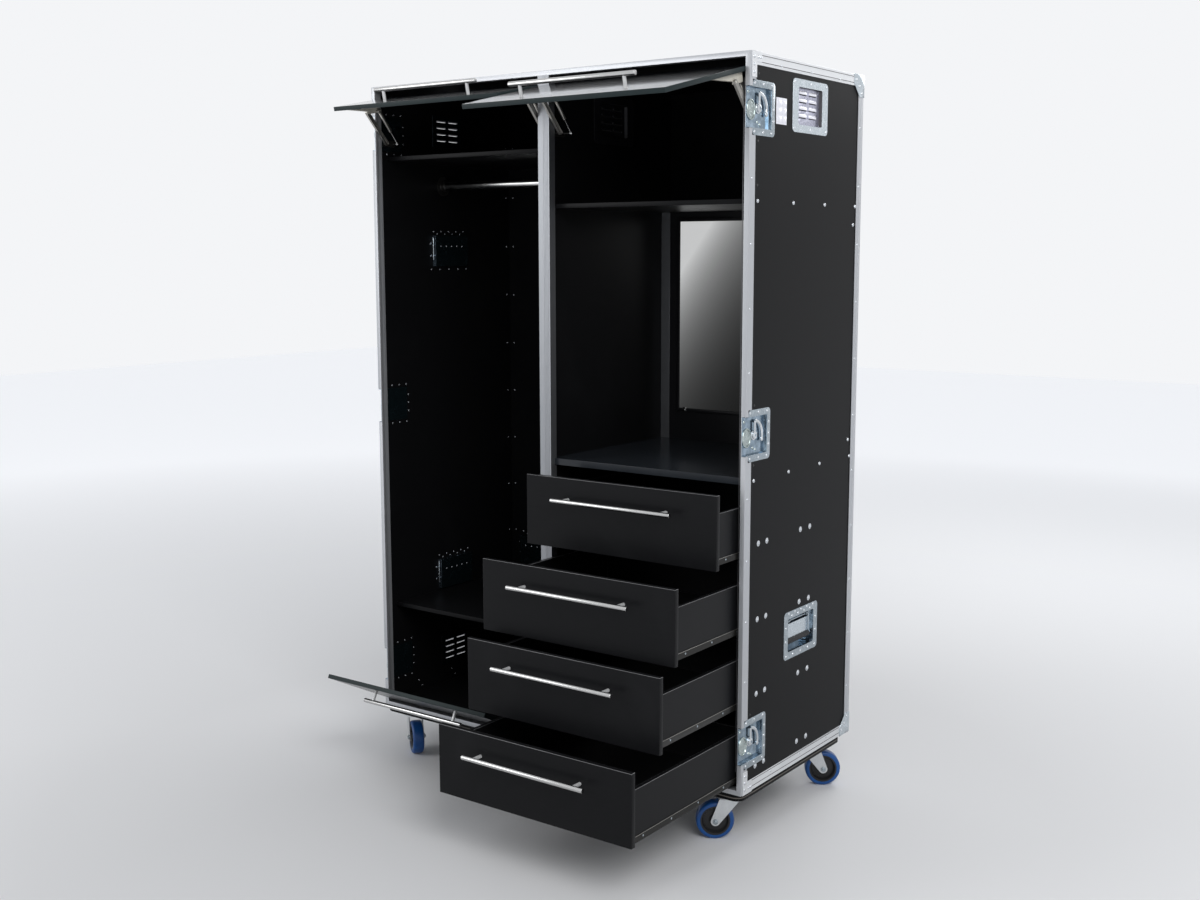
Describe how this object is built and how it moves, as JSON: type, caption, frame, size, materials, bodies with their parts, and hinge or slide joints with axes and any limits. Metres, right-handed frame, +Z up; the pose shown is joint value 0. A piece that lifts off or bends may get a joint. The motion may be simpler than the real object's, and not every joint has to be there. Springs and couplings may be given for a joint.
{
  "type": "wardrobe trunk",
  "caption": "Road-case wardrobe on swivel castors: compartments with shelves and clothes rail, mirror over a counter, drawers, lifting and dropping flaps, recessed latches and handles.",
  "frame": {"origin": "on the ground, at the middle of the object's box at rest, with flaps and drawers as far open as modelled", "axes": "+X to the right as the open front is faced, +Y towards the back wall, +Z up"},
  "size_m": [1.2814, 1.1245, 1.997],
  "materials": {
    "film_board": "black phenolic film on plywood, fine hexagonal grain",
    "counter_board": "smooth black film on plywood",
    "drawer_board": "satin black board",
    "aluminium_profile": "satin anodised",
    "zinc_steel": "bright zinc plate",
    "handle_steel": "brushed stainless",
    "mirror_glass": "silvered",
    "black_rubber": "matt",
    "blue_tyre": "blue elastic rubber on a black hub"
  },
  "bodies": {
    "case": {"side_panel_right": "film_board", "side_panel_left": "film_board", "top_panel": "film_board", "bottom_panel": "film_board", "back_panel": "film_board", "base_board": "film_board", "front_profile": "aluminium_profile", "edge_profiles": "aluminium_profile", "divider_panel": "film_board", "divider_profile": "aluminium_profile", "shelves": "film_board", "counter": "counter_board", "clothes_rail": "handle_steel", "mirror_board": "film_board", "mirror_pane": "mirror_glass", "mirror_angles": "aluminium_profile", "latch_dishes": "zinc_steel", "handle_dishes": "zinc_steel", "vent_dishes": "zinc_steel", "wall_fittings": "zinc_steel", "corner_fittings": "zinc_steel", "castor_plates": "zinc_steel"},
    "drawer_1": {"drawer_1_box": "drawer_board", "drawer_1_fittings": "handle_steel"},
    "drawer_2": {"drawer_2_box": "drawer_board", "drawer_2_fittings": "handle_steel"},
    "drawer_3": {"drawer_3_box": "drawer_board", "drawer_3_fittings": "handle_steel"},
    "drawer_4": {"drawer_4_box": "drawer_board", "drawer_4_fittings": "handle_steel"},
    "lift_flap_left": {"lift_flap_left": "film_board", "lift_flap_left_fittings": "handle_steel"},
    "stay_arms_left": {"stay_arms_left": "handle_steel"},
    "strut_cylinders_left": {"strut_cylinders_left": "handle_steel"},
    "strut_rods_left": {"strut_rods_left": "handle_steel"},
    "lift_flap_right": {"lift_flap_right": "film_board", "lift_flap_right_fittings": "handle_steel"},
    "stay_arms_right": {"stay_arms_right": "handle_steel"},
    "strut_cylinders_right": {"strut_cylinders_right": "handle_steel"},
    "strut_rods_right": {"strut_rods_right": "handle_steel"},
    "drop_flap": {"drop_flap": "film_board", "drop_flap_fittings": "handle_steel"},
    "latch_right_1": {"latch_right_1": "zinc_steel"},
    "latch_right_2": {"latch_right_2": "zinc_steel"},
    "latch_right_3": {"latch_right_3": "zinc_steel"},
    "latch_left_1": {"latch_left_1": "zinc_steel"},
    "latch_left_2": {"latch_left_2": "zinc_steel"},
    "latch_left_3": {"latch_left_3": "zinc_steel"},
    "grip_right": {"grip_right": "black_rubber"},
    "grip_left_lower": {"grip_left_lower": "black_rubber"},
    "grip_left_upper": {"grip_left_upper": "black_rubber"},
    "grip_back": {"grip_back": "black_rubber"},
    "castor_front_left_fork": {"castor_front_left_fork": "zinc_steel"},
    "castor_front_left_wheel": {"castor_front_left_wheel": "blue_tyre"},
    "castor_front_right_fork": {"castor_front_right_fork": "zinc_steel"},
    "castor_front_right_wheel": {"castor_front_right_wheel": "blue_tyre"},
    "castor_back_left_fork": {"castor_back_left_fork": "zinc_steel"},
    "castor_back_left_wheel": {"castor_back_left_wheel": "blue_tyre"},
    "castor_back_right_fork": {"castor_back_right_fork": "zinc_steel"},
    "castor_back_right_wheel": {"castor_back_right_wheel": "blue_tyre"}
  },
  "joints": [
    {"name": "drawer_1_slide", "type": "slide", "parent": "case", "child": "drawer_1", "axis": [0, -1, 0], "range_m": [-0.1099, 0.3701]},
    {"name": "drawer_2_slide", "type": "slide", "parent": "case", "child": "drawer_2", "axis": [0, -1, 0], "range_m": [-0.2926, 0.1874]},
    {"name": "drawer_3_slide", "type": "slide", "parent": "case", "child": "drawer_3", "axis": [0, -1, 0], "range_m": [-0.356, 0.124]},
    {"name": "drawer_4_slide", "type": "slide", "parent": "case", "child": "drawer_4", "axis": [0, -1, 0], "range_m": [-0.4696, 0.0104]},
    {"name": "lift_flap_left_hinge", "type": "hinge", "parent": "case", "child": "lift_flap_left", "pos_m": [-0.316, -0.0447, 1.9555], "axis": [-1, 0, 0], "range_deg": [-78.2, 0]},
    {"name": "stay_arms_left_pivot", "type": "hinge", "parent": "lift_flap_left", "child": "stay_arms_left", "pos_m": [-0.316, -0.09361, 1.91821], "axis": [1, 0, 0], "range_deg": [-121.5, 1]},
    {"name": "strut_cylinders_left_pivot", "type": "hinge", "parent": "lift_flap_left", "child": "strut_cylinders_left", "pos_m": [-0.316, -0.05739, 1.92578], "axis": [1, 0, 0], "range_deg": [-99.89, 1]},
    {"name": "strut_rods_left_slide", "type": "slide", "parent": "strut_cylinders_left", "child": "strut_rods_left", "axis": [0, 0.6252, -0.7804], "range_m": [-0.00938, 0.0005]},
    {"name": "lift_flap_right_hinge", "type": "hinge", "parent": "case", "child": "lift_flap_right", "pos_m": [0.32, -0.0447, 1.9555], "axis": [-1, 0, 0], "range_deg": [-76.8, 0]},
    {"name": "stay_arms_right_pivot", "type": "hinge", "parent": "lift_flap_right", "child": "stay_arms_right", "pos_m": [0.32, -0.09268, 1.91703], "axis": [1, 0, 0], "range_deg": [-119.3, 1]},
    {"name": "strut_cylinders_right_pivot", "type": "hinge", "parent": "lift_flap_right", "child": "strut_cylinders_right", "pos_m": [0.32, -0.05666, 1.92548], "axis": [1, 0, 0], "range_deg": [-98.17, 1]},
    {"name": "strut_rods_right_slide", "type": "slide", "parent": "strut_cylinders_right", "child": "strut_rods_right", "axis": [0, 0.6252, -0.7804], "range_m": [-0.00887, 0.0005]},
    {"name": "drop_flap_hinge", "type": "hinge", "parent": "case", "child": "drop_flap", "pos_m": [-0.316, -0.0447, 0.165], "axis": [1, 0, 0], "range_deg": [-63, 27]},
    {"name": "latch_right_1_turn", "type": "hinge", "parent": "case", "child": "latch_right_1", "pos_m": [0.6202, -0.0027, 0.273], "axis": [1, 0, 0], "range_deg": [0, 180]},
    {"name": "latch_right_2_turn", "type": "hinge", "parent": "case", "child": "latch_right_2", "pos_m": [0.6202, -0.0027, 1.068], "axis": [1, 0, 0], "range_deg": [0, 180]},
    {"name": "latch_right_3_turn", "type": "hinge", "parent": "case", "child": "latch_right_3", "pos_m": [0.6202, -0.0027, 1.863], "axis": [1, 0, 0], "range_deg": [0, 180]},
    {"name": "latch_left_1_turn", "type": "hinge", "parent": "case", "child": "latch_left_1", "pos_m": [-0.6202, -0.0027, 0.273], "axis": [-1, 0, 0], "range_deg": [0, 180]},
    {"name": "latch_left_2_turn", "type": "hinge", "parent": "case", "child": "latch_left_2", "pos_m": [-0.6202, -0.0027, 1.068], "axis": [-1, 0, 0], "range_deg": [0, 180]},
    {"name": "latch_left_3_turn", "type": "hinge", "parent": "case", "child": "latch_left_3", "pos_m": [-0.6202, -0.0027, 1.863], "axis": [-1, 0, 0], "range_deg": [0, 180]},
    {"name": "grip_right_lift", "type": "hinge", "parent": "case", "child": "grip_right", "pos_m": [0.6175, 0.2533, 0.5455], "axis": [0, -1, 0], "range_deg": [0, 90], "stiffness_Nm_per_rad": 0.25},
    {"name": "grip_left_lower_lift", "type": "hinge", "parent": "case", "child": "grip_left_lower", "pos_m": [-0.6175, 0.2533, 0.5455], "axis": [0, 1, 0], "range_deg": [0, 90], "stiffness_Nm_per_rad": 0.25},
    {"name": "grip_left_upper_lift", "type": "hinge", "parent": "case", "child": "grip_left_upper", "pos_m": [-0.6175, 0.2533, 1.5595], "axis": [0, 1, 0], "range_deg": [0, 90], "stiffness_Nm_per_rad": 0.25},
    {"name": "grip_back_lift", "type": "hinge", "parent": "case", "child": "grip_back", "pos_m": [-0.504, 0.5458, 0.5695], "axis": [1, 0, 0], "range_deg": [0, 90], "stiffness_Nm_per_rad": 0.25},
    {"name": "castor_front_left_swivel", "type": "hinge", "parent": "case", "child": "castor_front_left_fork", "pos_m": [-0.562, -0.0027, 0.105], "axis": [0, 0, 1], "continuous": true},
    {"name": "castor_front_left_roll", "type": "hinge", "parent": "castor_front_left_fork", "child": "castor_front_left_wheel", "pos_m": [-0.53419, -0.02396, 0.05], "axis": [0.6074, 0.7944, 0], "continuous": true},
    {"name": "castor_front_right_swivel", "type": "hinge", "parent": "case", "child": "castor_front_right_fork", "pos_m": [0.562, -0.0027, 0.105], "axis": [0, 0, 1], "continuous": true},
    {"name": "castor_front_right_roll", "type": "hinge", "parent": "castor_front_right_fork", "child": "castor_front_right_wheel", "pos_m": [0.53372, -0.02332, 0.05], "axis": [0.5892, -0.808, 0], "continuous": true},
    {"name": "castor_back_left_swivel", "type": "hinge", "parent": "case", "child": "castor_back_left_fork", "pos_m": [-0.562, 0.4553, 0.105], "axis": [0, 0, 1], "continuous": true},
    {"name": "castor_back_left_roll", "type": "hinge", "parent": "castor_back_left_fork", "child": "castor_back_left_wheel", "pos_m": [-0.59028, 0.47592, 0.05], "axis": [-0.5892, -0.808, 0], "continuous": true},
    {"name": "castor_back_right_swivel", "type": "hinge", "parent": "case", "child": "castor_back_right_fork", "pos_m": [0.562, 0.4553, 0.105], "axis": [0, 0, 1], "continuous": true},
    {"name": "castor_back_right_roll", "type": "hinge", "parent": "castor_back_right_fork", "child": "castor_back_right_wheel", "pos_m": [0.59028, 0.47592, 0.05], "axis": [-0.5892, 0.808, 0], "continuous": true}
  ],
  "couplings": [
    {"joint": "stay_arms_left_pivot", "follows": "lift_flap_left_hinge", "ratio": 1.541},
    {"joint": "strut_cylinders_left_pivot", "follows": "lift_flap_left_hinge", "ratio": 1.2646},
    {"joint": "strut_rods_left_slide", "follows": "lift_flap_left_hinge", "m_per_rad": 0.006506},
    {"joint": "stay_arms_right_pivot", "follows": "lift_flap_right_hinge", "ratio": 1.5403},
    {"joint": "strut_cylinders_right_pivot", "follows": "lift_flap_right_hinge", "ratio": 1.2652},
    {"joint": "strut_rods_right_slide", "follows": "lift_flap_right_hinge", "m_per_rad": 0.006241}
  ]
}
